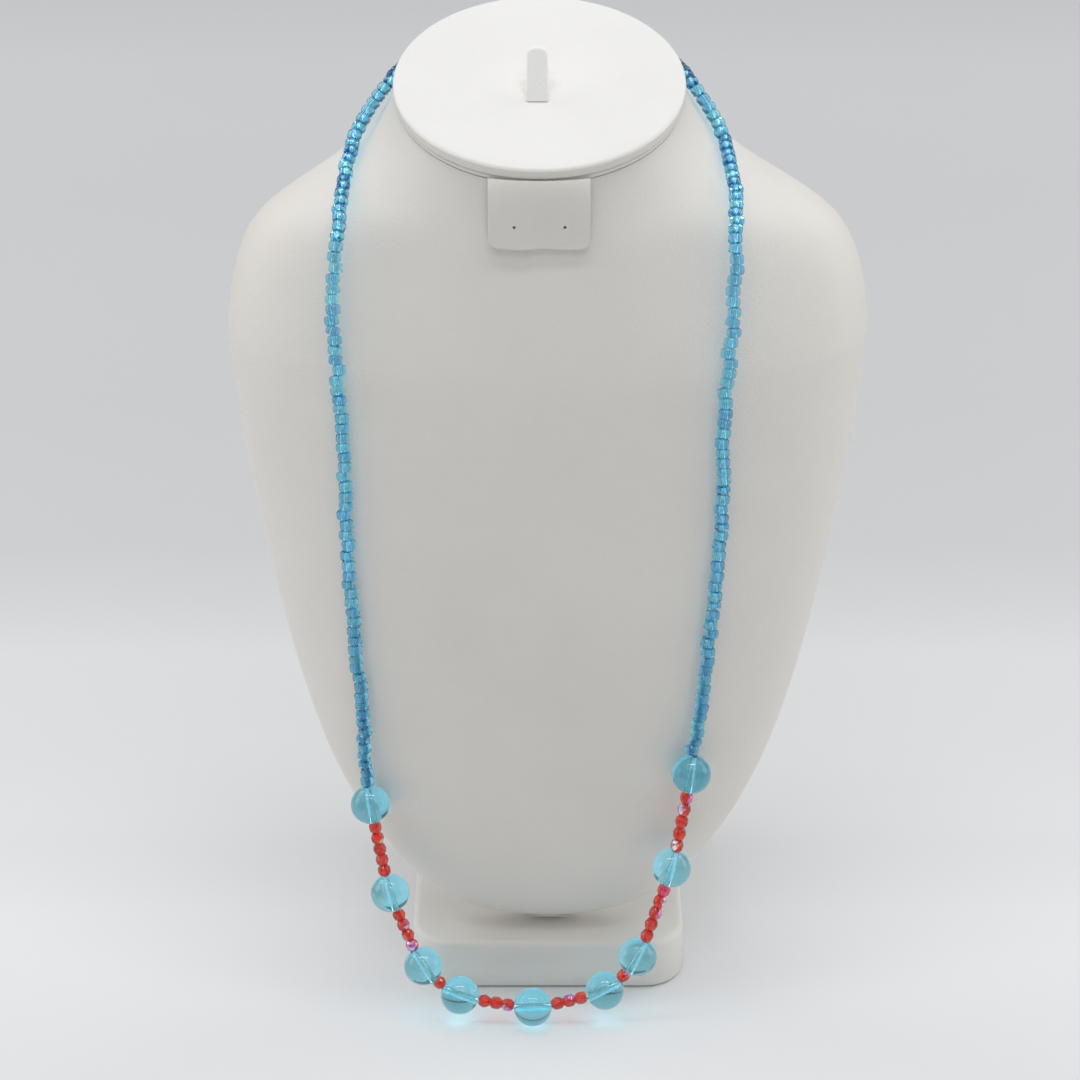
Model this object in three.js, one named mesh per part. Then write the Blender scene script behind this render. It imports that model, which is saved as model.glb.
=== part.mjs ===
// A long beaded necklace laid over a padded neck bust on a low block.
// Millimetres, +Z up, and the front faces -Y. Inside this file Y is measured from the tip of the
// bust's board, so what lies in front of the tip has a negative Y. The finished group is centred
// over the origin and stands at Z = 0.
import * as THREE from "three";
import { mergeVertices } from "three/addons/utils/BufferGeometryUtils.js";

// Clearance between pieces that touch on the real object.
const gap = 0.3;
const weld = 1e-4; // points closer than this become one

// Beads.
const largeDiameter = 12;
const largeHole = 1.5;
const redDiameter = 4;
const redLength = 3.2;
const redEndDiameter = 2.4;
const redBandLength = 1.2; // the straight middle band of a red bead
const redHole = 1.1;
const holePull = 0.5; // how far the red beads' line is drawn from the large beads' middles to their holes
const seedDiameter = 4;
const threadDiameter = 0.5;
const largeSides = 14;
const largeRows = 9;
const redSides = 10;
const threadSides = 6;

// The bust's board: a padded shield that leans back, with a nearly flat back.
const boardWidth = 193;
const boardHeight = 257; // from the tip to the top of the neck
const boardFront = 47; // how far the chest stands out in front of the rim
const boardBack = 6; // how far the flat back lies behind the rim
const boardLean = 12.9; // degrees
const tipHeight = 20;

// The neck and what lies on it.
const neckDiameter = 84.6;
const neckForward = 8.1; // how far the top of the neck lies in front of the leaning board's line
const neckOffset = -2.5; // the neck sits slightly to one side of the board
const neckTilt = 17.8; // degrees
const roundSides = 40;
const rimDiameter = neckDiameter + 0.4;
const rimThickness = 1.5;
const capDiameter = neckDiameter + 1.2;
const capThickness = 3.4;
const capRounding = 1.8;
const tabWidth = 6.8; // at its foot
const tabTopWidth = 6.2;
const tabThickness = 2.2;
const tabBevel = 0.5;
const tabHeight = 10.2; // above the cap
const tabArch = 1.3; // how far its top rises from the sides to the middle
const tabLean = 50; // degrees back from the cap's own upright
const tabForward = 10.4; // in front of the cap's middle
const tabOffset = -0.6; // to one side of it
const flapWidth = 29;
const flapLength = 19.5;
const flapThickness = 1.4;
const flapCorner = 3;
const flapLift = 2; // how far its lower edge stands off the neck
const flapFlare = 3; // its curve's radius at the lower edge, as a share of the rim's
const flapSteps = 6;

// The block and the upright that carries the board.
const baseWidth = 87;
const baseDepth = 95;
const baseHeight = 17.5;
const baseCorner = 12.5;
const baseRounding = 2.2;
const baseForward = 13; // how far the block reaches in front of the tip
const ribWidth = 12.5;
const ribDepth = 46; // along the block
const ribTopDepth = 5;
const ribHeight = 92;
const ribToe = 1; // how far its foot stands out in front of the tip
const cornerSteps = 6;
const edgeSteps = 4;

// Sections of the bust from the tip to the top of the neck. height is a share of boardHeight, width
// of half the board's width, front of boardFront, back of boardBack, and neck says how much of the
// neck's own round, tilted section is in the mix.
const bustSections = [
  { height: 0, width: 0.035, front: 0.02, back: 0.4, neck: 0 },
  { height: 0.004, width: 0.11, front: 0.06, back: 0.65, neck: 0 },
  { height: 0.016, width: 0.25, front: 0.14, back: 0.9, neck: 0 },
  { height: 0.038, width: 0.36, front: 0.25, back: 1, neck: 0 },
  { height: 0.062, width: 0.44, front: 0.35, back: 1, neck: 0 },
  { height: 0.11, width: 0.545, front: 0.5, back: 1, neck: 0 },
  { height: 0.164, width: 0.635, front: 0.64, back: 1, neck: 0 },
  { height: 0.242, width: 0.73, front: 0.78, back: 1, neck: 0 },
  { height: 0.35, width: 0.82, front: 0.895, back: 1, neck: 0 },
  { height: 0.487, width: 0.9, front: 0.98, back: 1, neck: 0 },
  { height: 0.623, width: 0.967, front: 1, back: 1, neck: 0 },
  { height: 0.732, width: 1, front: 0.99, back: 1, neck: 0 },
  { height: 0.794, width: 0.996, front: 0.97, back: 1, neck: 0 },
  { height: 0.833, width: 0.971, front: 0.947, back: 1, neck: 0.02 },
  { height: 0.86, width: 0.951, front: 0.93, back: 1, neck: 0.05 },
  { height: 0.88, width: 0.924, front: 0.92, back: 1, neck: 0.12 },
  { height: 0.902, width: 0.842, front: 0.9, back: 1, neck: 0.3 },
  { height: 0.923, width: 0.741, front: 0.875, back: 1, neck: 0.5 },
  { height: 0.942, width: 0.74, front: 0.845, back: 1, neck: 0.7 },
  { height: 0.966, width: 0.735, front: 0.75, back: 1, neck: 0.87 },
  { height: 1, width: 0.73, front: 0.7, back: 1, neck: 1 },
];
const bustSides = 32;
const skinStep = 0.25; // rows between the rings that are read to keep beads off the bust
const chestPower = 2.2; // roundness of the chest's sections, where 2 is an ellipse
const backPower = 4; // squareness of the flat back's

// Middles of the large beads, from the top of the left side round the bottom to the top of the
// right, with the number of red beads that follow each.
const largeBeads = [
  { name: "large_bead_left_1", x: -54.5, y: -17.5, z: 73.5, reds: 5 },
  { name: "large_bead_left_2", x: -49, y: -22.5, z: 44, reds: 4 },
  { name: "large_bead_left_3", x: -39, y: -28, z: 20, reds: 1 },
  { name: "large_bead_left_4", x: -27.6, y: -30, z: 10.2, reds: 3 },
  { name: "large_bead_centre", x: -4.8, y: -31, z: 6.3, reds: 3 },
  { name: "large_bead_right_4", x: 17.8, y: -30, z: 12, reds: 1 },
  { name: "large_bead_right_3", x: 28, y: -28.5, z: 24, reds: 5 },
  { name: "large_bead_right_2", x: 38, y: -25.5, z: 55.5, reds: 5 },
  { name: "large_bead_right_1", x: 43.3, y: -23.2, z: 88.3, reds: 0 },
];

// The seed beads' route from the uppermost large bead on the left, over the shoulder, round the back
// of the neck and down to the one on the right. Its two ends are set by those beads. forward is
// measured from the board's leaning line, and height is a share of boardHeight above the tip.
const seedRoute = [
  { across: -55.6, forward: 30.3, height: 0.249 },
  { across: -56.2, forward: 34.8, height: 0.35 },
  { across: -58.2, forward: 38, height: 0.455 },
  { across: -59.2, forward: 40.1, height: 0.553 },
  { across: -59.8, forward: 41.3, height: 0.667 },
  { across: -61.4, forward: 40.5, height: 0.757 },
  { across: -62, forward: 37.5, height: 0.84 },
  { across: -60.6, forward: 34.7, height: 0.881 },
  { across: -60, forward: 24.1, height: 0.911 },
  { across: -59, forward: 14.2, height: 0.929 },
  { across: -57, forward: 6, height: 0.951 },
  { across: -53.4, forward: 1.3, height: 0.973 },
  { across: -47, forward: -1.6, height: 1 },
  { across: -43.3, forward: -10.7, height: 1.008 },
  { across: -37.5, forward: -19.7, height: 1.016 },
  { across: -21, forward: -28.7, height: 1.025 },
  { across: -2.5, forward: -31.9, height: 1.029 },
  { across: 16, forward: -28.7, height: 1.025 },
  { across: 32.5, forward: -19.7, height: 1.016 },
  { across: 38.3, forward: -10.7, height: 1.008 },
  { across: 42, forward: -1.5, height: 1.002 },
  { across: 48.2, forward: 1.3, height: 0.973 },
  { across: 51.4, forward: 6.6, height: 0.953 },
  { across: 53.2, forward: 17.3, height: 0.932 },
  { across: 54, forward: 26.4, height: 0.914 },
  { across: 53.8, forward: 36.7, height: 0.884 },
  { across: 53.7, forward: 40.5, height: 0.844 },
  { across: 52.6, forward: 43.4, height: 0.761 },
  { across: 50.7, forward: 44.1, height: 0.673 },
  { across: 51, forward: 43.3, height: 0.58 },
  { across: 49.2, forward: 42.5, height: 0.486 },
  { across: 46.8, forward: 40.2, height: 0.387 },
  { across: 44.7, forward: 38.6, height: 0.309 },
];
const seedSteps = 64;
const seedSides = 8;

const glass = { color: 0x5fc3d8, roughness: 0.05, metalness: 0 };
const seedGlass = { color: 0x2fa6cf, roughness: 0.1, metalness: 0 };
const redGlass = { color: 0xd8302a, roughness: 0.12, metalness: 0 };
const nylon = { color: 0xd9eef2, roughness: 0.4, metalness: 0 };
const leatherette = { color: 0xe6e4de, roughness: 0.5, metalness: 0 };

function piece(name, geometry, finish) {
  const mesh = new THREE.Mesh(geometry, new THREE.MeshStandardMaterial(finish));
  mesh.name = name;
  return mesh;
}

// A closed solid through rings of equally many points, an even number. Each end is closed straight
// across, from the ring's first half to its second, which suits a bent strip as well as a round.
function loft(rings) {
  const count = rings[0].length;
  const top = (rings.length - 1) * count;
  const index = [];
  for (let i = 0; i < count; i++) {
    const next = (i + 1) % count;
    for (let row = 0; row < top; row += count)
      index.push(row + i, row + next, row + count + next, row + i, row + count + next, row + count + i);
  }
  for (let i = 0; i < count / 2 - 1; i++) {
    const far = count - 1 - i;
    index.push(i, far, far - 1, i, far - 1, i + 1);
    index.push(top + i, top + i + 1, top + far - 1, top + i, top + far - 1, top + far);
  }
  return new THREE.BufferGeometry().setFromPoints(rings.flat()).setIndex(index);
}

// A profile of [radius, height] pairs turned about Z.
function turned(profile, sides) {
  const geometry = new THREE.LatheGeometry(
    profile.map(([r, z]) => new THREE.Vector2(r, z)),
    sides,
  ).rotateX(Math.PI / 2);
  geometry.deleteAttribute("normal");
  geometry.deleteAttribute("uv");
  return mergeVertices(geometry, weld);
}

// A rounded upper edge from its side to its top: how far each point is in from the side and below
// the top.
function roundedEdge(rounding) {
  return Array.from({ length: edgeSteps + 1 }, (_, i) => {
    const angle = ((i / edgeSteps) * Math.PI) / 2;
    return { inset: rounding * (1 - Math.cos(angle)), below: rounding * (1 - Math.sin(angle)) };
  });
}

// Catmull-Rom value between b and c.
function between(a, b, c, d, t) {
  const bend = (2 * a - 5 * b + 4 * c - d) * t * t + (3 * b - 3 * c + d - a) * t * t * t;
  return b + 0.5 * ((c - a) * t + bend);
}

// The bust's section at a place along the table, where whole numbers are its rows.
function bustSection(place) {
  const last = bustSections.length - 1;
  const row = Math.min(Math.floor(place), last - 1);
  const read = (column) => {
    const at = (i) => bustSections[THREE.MathUtils.clamp(i, 0, last)][column];
    return between(at(row - 1), at(row), at(row + 1), at(row + 2), place - row);
  };
  const neck = THREE.MathUtils.clamp(read("neck"), 0, 1);
  const rise = boardHeight * read("height");
  const mix = (chest, round) => THREE.MathUtils.lerp(chest, round, neck);
  return {
    centre: new THREE.Vector3(
      neckOffset * neck,
      rise * Math.tan(THREE.MathUtils.degToRad(boardLean)) - neckForward * neck,
      tipHeight + rise,
    ),
    halfWidth: mix((boardWidth / 2) * read("width"), neckDiameter / 2),
    front: mix(boardFront * read("front"), neckDiameter / 2),
    back: mix(boardBack * read("back"), neckDiameter / 2),
    frontPower: mix(chestPower, 2),
    backPower: mix(backPower, 2),
    tilt: THREE.MathUtils.degToRad(neckTilt) * neck,
  };
}

// One ring of the bust, which starts at its right side and runs by way of the back.
function bustRing(place) {
  const section = bustSection(place);
  return Array.from({ length: bustSides }, (_, i) => {
    const turn = (2 * Math.PI * i) / bustSides;
    const across = Math.cos(turn);
    const along = Math.sin(turn);
    const power = along < 0 ? section.frontPower : section.backPower;
    const depth = along < 0 ? section.front : section.back;
    const share = (value) => Math.sign(value) * Math.abs(value) ** (2 / power);
    return new THREE.Vector3(section.halfWidth * share(across), depth * share(along), 0)
      .applyAxisAngle(new THREE.Vector3(1, 0, 0), section.tilt)
      .add(section.centre);
  });
}

// Points all over the bust's surface, each with the direction straight out of it.
function bustSkin() {
  const rings = [];
  for (let place = 0; place <= bustSections.length - 1; place += skinStep) rings.push(bustRing(place));
  return rings.slice(1, -1).flatMap((ring, row) =>
    ring.map((at, i) => {
      const up = rings[row + 2][i].clone().sub(rings[row][i]);
      const round = ring[(i + 1) % bustSides].clone().sub(ring[(i + bustSides - 1) % bustSides]);
      return { at, out: round.cross(up).normalize() };
    }),
  );
}

// A point, moved straight off the bust where a ball of that radius round it wouldn't clear the bust.
function offBust(point, radius) {
  const distance = (spot) => spot.at.distanceToSquared(point);
  const nearest = skin.reduce((best, spot) => (distance(spot) < distance(best) ? spot : best));
  const short = radius + gap - point.clone().sub(nearest.at).dot(nearest.out);
  return point.clone().addScaledVector(nearest.out, Math.max(0, short));
}

function bustBody() {
  const rings = [];
  for (let place = 0; place < bustSections.length; place += 0.5)
    if (place <= bustSections.length - 1) rings.push(bustRing(place));
  return piece("bust_body", loft(rings), leatherette);
}

// Rim, cap and ring tab stand on the neck's top in one tilted group whose Z is the neck's axis.
function neckTop() {
  const top = new THREE.Group();
  const section = bustSection(bustSections.length - 1);
  top.position.copy(section.centre);
  top.rotation.x = section.tilt;

  const rimRadius = rimDiameter / 2;
  const rimProfile = [[0, 0], [rimRadius, 0], [rimRadius, rimThickness], [0, rimThickness]];
  const rimPiece = piece("neck_rim", turned(rimProfile, roundSides), leatherette);
  rimPiece.position.z = gap;

  const capRadius = capDiameter / 2;
  const capProfile = [[0, 0], [capRadius, 0]];
  for (const { inset, below } of roundedEdge(capRounding))
    capProfile.push([capRadius - inset, capThickness - below]);
  capProfile.push([0, capThickness]);
  const capPiece = piece("neck_cap", turned(capProfile, roundSides), leatherette);
  capPiece.position.z = rimThickness + 2 * gap;

  const tab = ringTab();
  tab.position.set(tabOffset, -tabForward, capPiece.position.z + capThickness + gap);
  top.add(rimPiece, capPiece, tab);
  return top;
}

// A tongue with a shallow arched top, standing across the view and leaning back from its flat foot.
function ringTab() {
  const shoulder = tabHeight - tabArch;
  const outline = new THREE.Shape();
  outline.moveTo(-tabWidth / 2, 0);
  outline.lineTo(tabWidth / 2, 0);
  outline.lineTo(tabTopWidth / 2, shoulder);
  outline.absellipse(0, shoulder, tabTopWidth / 2, tabArch, 0, Math.PI, false);
  const geometry = new THREE.ExtrudeGeometry(outline, {
    depth: tabThickness - 2 * tabBevel,
    bevelThickness: tabBevel,
    bevelSize: tabBevel,
    bevelOffset: -tabBevel,
    bevelSegments: 1,
    curveSegments: cornerSteps,
  }).translate(0, 0, tabBevel - tabThickness / 2);
  geometry.rotateX(Math.PI / 2);
  const lean = Math.tan(THREE.MathUtils.degToRad(tabLean));
  geometry.applyMatrix4(new THREE.Matrix4().makeShear(0, 0, 0, 0, 0, lean));
  return piece("ring_tab", geometry, leatherette);
}

// The flap leaves the seam over the rim, folds over its edge and hangs in front of the neck. Each row
// is one level from the lower edge up: its drop as a share of flapLength, its lift of flapLift, and
// its trim, the width that the rounded corner takes, of flapCorner.
function earringFlap() {
  const top = bustSection(bustSections.length - 1);
  const radius = rimDiameter / 2;
  const edge = new THREE.Vector3(0, -radius, rimThickness + gap)
    .applyAxisAngle(new THREE.Vector3(1, 0, 0), top.tilt)
    .add(top.centre);
  const corner = flapCorner / flapLength;
  const rows = [
    { drop: 1, lift: 1, trim: 1 },
    { drop: 1 - 0.3 * corner, lift: 0.85, trim: 0.3 },
    { drop: 1 - corner, lift: 0.6, trim: 0 },
    { drop: 0.5, lift: 0.35, trim: 0 },
    { drop: 0, lift: 0, trim: 0 },
  ];
  const rings = rows.map(({ drop, lift, trim }) => {
    const half = flapWidth / 2 - trim * flapCorner;
    const bend = radius * THREE.MathUtils.lerp(1, flapFlare, drop);
    const inside = Array.from({ length: flapSteps + 1 }, (_, i) => {
      const x = THREE.MathUtils.lerp(-half, half, i / flapSteps);
      const y = bend - Math.sqrt(bend * bend - x * x) - gap - lift * flapLift;
      return offBust(new THREE.Vector3(x, y, -flapLength * drop).add(edge), 0);
    });
    const outside = inside.map(({ x, y, z }) => new THREE.Vector3(x, y - flapThickness, z));
    return [...outside, ...inside.reverse()];
  });
  return piece("earring_flap", loft(rings), leatherette);
}

// A round-cornered rectangle at one height, standing in by inset all round.
function blockRing(z, inset) {
  const radius = baseCorner - inset;
  const halfWidth = baseWidth / 2 - baseCorner;
  const halfDepth = baseDepth / 2 - baseCorner;
  const middle = baseDepth / 2 - baseForward;
  const ring = [];
  for (let corner = 0; corner < 4; corner++)
    for (let i = 0; i <= cornerSteps; i++) {
      const angle = (Math.PI / 2) * (corner + i / cornerSteps);
      const right = corner === 0 || corner === 3 ? 1 : -1;
      const rear = corner < 2 ? 1 : -1;
      ring.push(
        new THREE.Vector3(
          right * halfWidth + radius * Math.cos(angle),
          middle + rear * halfDepth + radius * Math.sin(angle),
          z,
        ),
      );
    }
  return ring;
}

function baseBlock() {
  const upper = roundedEdge(baseRounding).map(({ inset, below }) => blockRing(baseHeight - below, inset));
  return piece("base_block", loft([blockRing(0, 0), ...upper]), leatherette);
}

// The upright stands on the block, shows its front edge under the tip and runs up behind the board.
function supportRib() {
  const lean = THREE.MathUtils.degToRad(boardLean);
  const bottom = baseHeight + gap;
  const top = bottom + ribHeight;
  const tip = tipHeight - gap;
  const back = (z) => Math.tan(lean) * (z - tipHeight) + boardBack + gap / Math.cos(lean);
  const side = new THREE.Shape([
    new THREE.Vector2(-ribToe, bottom),
    new THREE.Vector2(ribDepth, bottom),
    new THREE.Vector2(back(top) + ribTopDepth, top),
    new THREE.Vector2(back(top), top),
    new THREE.Vector2(back(tip), tip),
    new THREE.Vector2(-ribToe, tip),
  ]);
  const geometry = new THREE.ExtrudeGeometry(side, { depth: ribWidth, bevelEnabled: false })
    .translate(0, 0, -ribWidth / 2)
    .rotateX(Math.PI / 2)
    .rotateZ(Math.PI / 2);
  return piece("support_rib", geometry, leatherette);
}

// A drilled round bead about Z.
function largeBead() {
  const radius = largeDiameter / 2;
  const bore = largeHole / 2;
  const start = Math.asin(bore / radius);
  const profile = [];
  for (let i = 0; i <= largeRows; i++) {
    const angle = THREE.MathUtils.lerp(start, Math.PI - start, i / largeRows);
    profile.push([radius * Math.sin(angle), -radius * Math.cos(angle)]);
  }
  profile.push(profile[0]);
  return turned(profile, largeSides);
}

// A drilled faceted bead about Z: slanted facets, a straight band and slanted facets.
function redBead() {
  const half = redLength / 2;
  const end = redEndDiameter / 2;
  const belly = redDiameter / 2;
  const bore = redHole / 2;
  const band = redBandLength / 2;
  return turned(
    [[bore, -half], [end, -half], [belly, -band], [belly, band], [end, half], [bore, half], [bore, -half]],
    redSides,
  );
}

function largeMiddle({ x, y, z }) {
  return offBust(new THREE.Vector3(x, y, z), largeDiameter / 2);
}

// All front beads in their order on the thread: where each one is, which way its hole points and half
// of what it takes up on the thread.
function beadsInOrder() {
  const points = seedPoints();
  const centres = largeBeads.map(largeMiddle);
  const stops = [points[0], ...centres, points.at(-1)];
  const towards = (from, to) => to.clone().sub(from).normalize();
  const axes = centres.map((_, i) => towards(stops[i], stops[i + 2]));
  const half = largeDiameter / 2;
  const leaving = (i, other, side) => {
    const way = towards(centres[i], centres[other]).lerp(axes[i].clone().multiplyScalar(side), holePull);
    return centres[i].clone().addScaledVector(way.normalize(), half);
  };
  const beads = [];
  largeBeads.forEach(({ name, reds }, i) => {
    beads.push({ name, centre: centres[i], axis: axes[i], half, large: true });
    if (!reds) return;
    const start = leaving(i, i + 1, 1);
    const end = leaving(i + 1, i, -1);
    for (let k = 0; k < reds; k++) {
      const number = beads.filter(({ large }) => !large).length + 1;
      beads.push({
        name: "red_bead_" + String(number).padStart(2, "0"),
        centre: start.clone().lerp(end, (k + 0.5) / reds),
        axis: towards(start, end),
        half: redLength / 2,
        large: false,
      });
    }
  });
  return beads;
}

function frontBeads() {
  const group = new THREE.Group();
  const beads = beadsInOrder();
  const shapes = { large: largeBead(), red: redBead() };
  for (const { name, centre, axis, large } of beads) {
    const mesh = large ? piece(name, shapes.large, glass) : piece(name, shapes.red, redGlass);
    mesh.position.copy(centre);
    mesh.quaternion.setFromUnitVectors(new THREE.Vector3(0, 0, 1), axis);
    group.add(mesh);
  }
  group.add(piece("bead_thread", thread(beads), nylon));
  return group;
}

// The thread runs straight through each bead and bends in the small gaps between them.
function thread(beads) {
  const rings = beads.flatMap(({ centre, axis, half }) => {
    const across = new THREE.Vector3(0, 1, 0).cross(axis).normalize();
    const along = new THREE.Vector3().crossVectors(axis, across);
    return [-half, half].map((place) =>
      Array.from({ length: threadSides }, (_, i) => {
        const turn = (2 * Math.PI * i) / threadSides;
        return centre
          .clone()
          .addScaledVector(axis, place)
          .addScaledVector(across, (threadDiameter / 2) * Math.cos(turn))
          .addScaledVector(along, (threadDiameter / 2) * Math.sin(turn));
      }),
    );
  });
  return loft(rings);
}

function seedPoints() {
  const lean = Math.tan(THREE.MathUtils.degToRad(boardLean));
  return seedRoute.map(({ across, forward, height }) => {
    const rise = height * boardHeight;
    const point = new THREE.Vector3(across, rise * lean - forward, tipHeight + rise);
    return offBust(point, seedDiameter / 2);
  });
}

// A round bar of a few sides along the route, from bead to bead.
function seedString() {
  const section = new THREE.Shape(
    Array.from({ length: seedSides }, (_, i) => {
      const turn = (2 * Math.PI * i) / seedSides;
      return new THREE.Vector2(Math.cos(turn), Math.sin(turn)).multiplyScalar(seedDiameter / 2);
    }),
  );
  const points = seedPoints();
  const endAt = (large, towards) => {
    const bead = largeMiddle(large);
    return bead.addScaledVector(towards.clone().sub(bead).normalize(), largeDiameter / 2 + gap);
  };
  const route = [endAt(largeBeads[0], points[0]), ...points, endAt(largeBeads.at(-1), points.at(-1))];
  const geometry = new THREE.ExtrudeGeometry(section, {
    steps: seedSteps,
    extrudePath: new THREE.CatmullRomCurve3(route, false, "centripetal"),
    bevelEnabled: false,
  });
  geometry.deleteAttribute("normal");
  geometry.deleteAttribute("uv");
  return piece("seed_bead_string", mergeVertices(geometry, weld), seedGlass);
}

const skin = bustSkin();
const object = new THREE.Group();
object.add(bustBody(), neckTop(), earringFlap(), supportRib(), baseBlock(), frontBeads(), seedString());

// Centre the whole over the origin.
const box = new THREE.Box3().setFromObject(object, true);
const middle = box.getCenter(new THREE.Vector3());
object.position.set(-middle.x, -middle.y, -box.min.z);

const group = new THREE.Group();
group.name = "beaded_necklace_on_neck_bust";
group.add(object);

export default group;
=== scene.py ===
import math
import random

import bpy
import numpy as np
from mathutils import Matrix, Quaternion, Vector


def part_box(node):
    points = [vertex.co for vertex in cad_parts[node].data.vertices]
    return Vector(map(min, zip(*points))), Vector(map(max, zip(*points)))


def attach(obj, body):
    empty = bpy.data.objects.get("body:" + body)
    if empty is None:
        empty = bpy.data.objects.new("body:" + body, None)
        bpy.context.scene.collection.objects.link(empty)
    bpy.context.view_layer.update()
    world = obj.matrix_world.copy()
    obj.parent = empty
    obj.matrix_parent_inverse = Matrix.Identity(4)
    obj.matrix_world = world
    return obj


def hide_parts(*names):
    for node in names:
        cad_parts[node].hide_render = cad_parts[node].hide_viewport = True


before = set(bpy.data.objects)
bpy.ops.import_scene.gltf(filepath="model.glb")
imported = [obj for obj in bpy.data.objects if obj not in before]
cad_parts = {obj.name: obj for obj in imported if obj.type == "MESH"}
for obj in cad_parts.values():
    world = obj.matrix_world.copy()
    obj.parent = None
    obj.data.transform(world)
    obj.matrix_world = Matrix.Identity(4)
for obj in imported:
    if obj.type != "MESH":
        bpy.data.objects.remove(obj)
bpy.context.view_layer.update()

# Everything below is in millimetres, measured from the tip of the bust's board as in the part's
# source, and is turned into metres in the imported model's frame when a piece is made.
MM = 0.001
BASE_FORWARD = 13
TIP = Vector((0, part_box("base_block")[0][1] + BASE_FORWARD * MM, 0))
GAP = 0.3  # between pieces that touch on the real object
CHANCE_START = 7
chance = random.Random(CHANCE_START)


def in_frame(point):
    return Vector(point) * MM + TIP


def from_frame(point):
    return (Vector(point) - TIP) / MM


def rotation(angle):
    return Matrix.Rotation(math.radians(angle), 4, "X")


# ---------------------------------------------------------------- materials


class Nodes:
    """A material's nodes, made and linked in short calls."""

    def __init__(self, name):
        self.material = bpy.data.materials.new(name)
        self.material.use_nodes = True
        self.tree = self.material.node_tree
        self.shader = self.tree.nodes["Principled BSDF"]
        self.output = self.tree.nodes["Material Output"]

    def add(self, kind, **inputs):
        node = self.tree.nodes.new("ShaderNode" + kind)
        for key, value in inputs.items():
            key = key.replace("_", " ")
            if hasattr(value, "is_linked"):
                self.tree.links.new(value, node.inputs[key])
            else:
                node.inputs[key].default_value = value
        return node

    def link(self, source, socket):
        self.tree.links.new(source, socket)

    def fixed(self, **inputs):
        for key, value in inputs.items():
            self.shader.inputs[key.replace("_", " ")].default_value = value

    def place(self):
        return self.add("TexCoord").outputs["Object"]

    def noise(self, scale, detail=2.0, roughness=0.5):
        return self.add(
            "TexNoise", Vector=self.place(), Scale=scale, Detail=detail, Roughness=roughness
        ).outputs["Fac"]

    def blend(self, factor, first, second):
        node = self.tree.nodes.new("ShaderNodeMix")
        node.data_type = "RGBA"
        for socket, value in zip((node.inputs[0], node.inputs[6], node.inputs[7]), (factor, first, second)):
            if hasattr(value, "is_linked"):
                self.tree.links.new(value, socket)
            else:
                socket.default_value = value
        return node.outputs[2]

    def spread(self, value, low, high, new_low=0.0, new_high=1.0):
        return self.add(
            "MapRange", Value=value, From_Min=low, From_Max=high, To_Min=new_low, To_Max=new_high
        ).outputs["Result"]

    def bump(self, height, distance, strength=1.0, under=None):
        node = self.add("Bump", Height=height, Distance=distance, Strength=strength)
        if under is not None:
            self.link(under, node.inputs["Normal"])
        return node.outputs["Normal"]


def rgb(r, g, b):
    return (r, g, b, 1.0)


def leatherette(name, pale, shade, roughness=0.5):
    """White coated cloth: fine pebbled grain over slow unevenness, with a faint change of tone."""
    n = Nodes(name)
    tone = n.spread(n.noise(22, 3), 0.35, 0.65)
    n.link(n.blend(tone, shade, pale), n.shader.inputs["Base Color"])
    grain = n.add("TexVoronoi", Vector=n.place(), Scale=1300.0)
    slow = n.bump(n.noise(70, 2), 0.0006, 0.35)
    fine = n.bump(n.noise(2600, 2), 0.00006, 0.5, slow)
    n.link(n.bump(grain.outputs["Distance"], 0.00009, 0.55, fine), n.shader.inputs["Normal"])
    n.link(n.spread(n.noise(160, 2), 0.3, 0.7, roughness - 0.05, roughness + 0.06),
           n.shader.inputs["Roughness"])
    n.fixed(Specular_IOR_Level=0.35)
    return n.material


def bead_glass(name, through, roughness, clearness, rim, wave):
    """Glass whose colour and coat are held by the mesh, with painted shade where it is seen at its rim,
    standing in for the darker things that the glass would show there. Lamps also shine through it, tinted,
    onto what lies behind."""
    n = Nodes(name)
    tint = n.add("Attribute")
    tint.attribute_name = "tint"
    film = n.add("Attribute")
    film.attribute_name = "film"
    streak = n.blend(n.spread(n.noise(420, 2), 0.35, 0.65, 0.0, 0.12), tint.outputs["Color"], rgb(1, 1, 1))
    # Painted shade: the colour is darkened towards the rim as seen.
    edge = n.spread(n.add("LayerWeight", Blend=0.5).outputs["Facing"], 0.45, 0.95)
    shade = n.blend(edge, streak, rim)
    shade.node.blend_type = "MULTIPLY"
    n.link(shade, n.shader.inputs["Base Color"])
    n.link(n.spread(film.outputs["Fac"], 0, 1, 0, 0.75), n.shader.inputs["Metallic"])
    n.link(n.spread(film.outputs["Fac"], 0, 1, clearness, 0.1), n.shader.inputs["Transmission Weight"])
    n.link(n.bump(n.noise(300, 1), wave), n.shader.inputs["Normal"])
    n.fixed(Roughness=roughness, IOR=1.5)
    lamp = n.add("LightPath").outputs["Is Shadow Ray"]
    clear = n.add("BsdfTransparent", Color=through)
    mix = n.tree.nodes.new("ShaderNodeMixShader")
    n.link(lamp, mix.inputs[0])
    n.link(n.shader.outputs[0], mix.inputs[1])
    n.link(clear.outputs[0], mix.inputs[2])
    n.link(mix.outputs[0], n.output.inputs["Surface"])
    return n.material


def nylon(name):
    n = Nodes(name)
    n.link(n.blend(n.noise(900), rgb(0.93, 0.98, 1), rgb(0.98, 1, 1)), n.shader.inputs["Base Color"])
    n.fixed(Roughness=0.15, Transmission_Weight=0.95, IOR=1.2)
    return n.material


# Painted shade on the floor, standing in for the light falling off behind the bust: how far behind the
# middle, in metres, and how much of the front's brightness the floor has there.
FLOOR_PAINTED_SHADE = [(0.0, 1.0), (0.92, 0.89), (0.04, 0.93), (0.1, 0.89), (0.17, 0.88), (0.19, 0.84),
               (0.215, 0.8), (0.26, 0.75), (0.4, 0.75), (0.67, 0.8)]


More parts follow.
